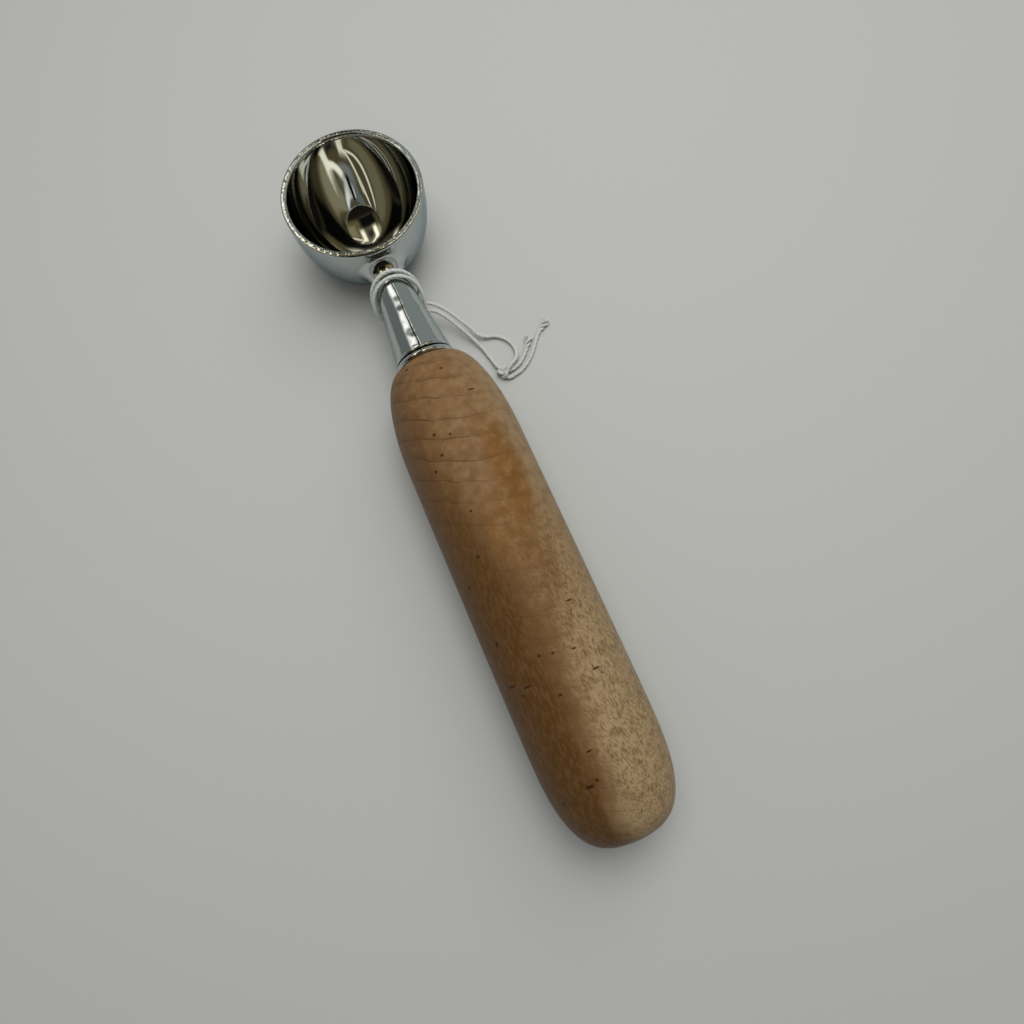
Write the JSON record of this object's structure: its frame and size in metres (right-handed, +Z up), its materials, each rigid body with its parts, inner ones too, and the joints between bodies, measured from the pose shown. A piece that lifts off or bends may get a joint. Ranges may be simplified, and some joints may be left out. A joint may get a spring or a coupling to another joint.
{
  "type": "coffee scoop",
  "caption": "Deep round measuring cup on a tapered chromed neck, with a thick straight turned wooden handle and a string loop hitched round the neck.",
  "frame": {"origin": "on the resting surface, under the centre of the scoop's bounding box without the string", "axes": "+Z up out of the cup's mouth, +Y along the handle towards the cup, +X to the side on which the string lies"},
  "size_m": [0.0564, 0.1948, 0.0317],
  "materials": {
    "chrome": "mirror polish",
    "maple": "satin oiled figured maple",
    "steel": "plain steel screw thread",
    "brass": "plain turned brass",
    "cotton": "white twisted cotton string"
  },
  "bodies": {
    "root": {"cup": "chrome", "neck": "chrome", "collar": "chrome", "stud": "steel", "threaded_insert": "brass", "handle": "maple", "twine_lead": "cotton", "twine_return": "cotton", "twine_knot": "cotton", "twine_long_tail": "cotton", "twine_short_tail": "cotton"}
  },
  "joints": []
}
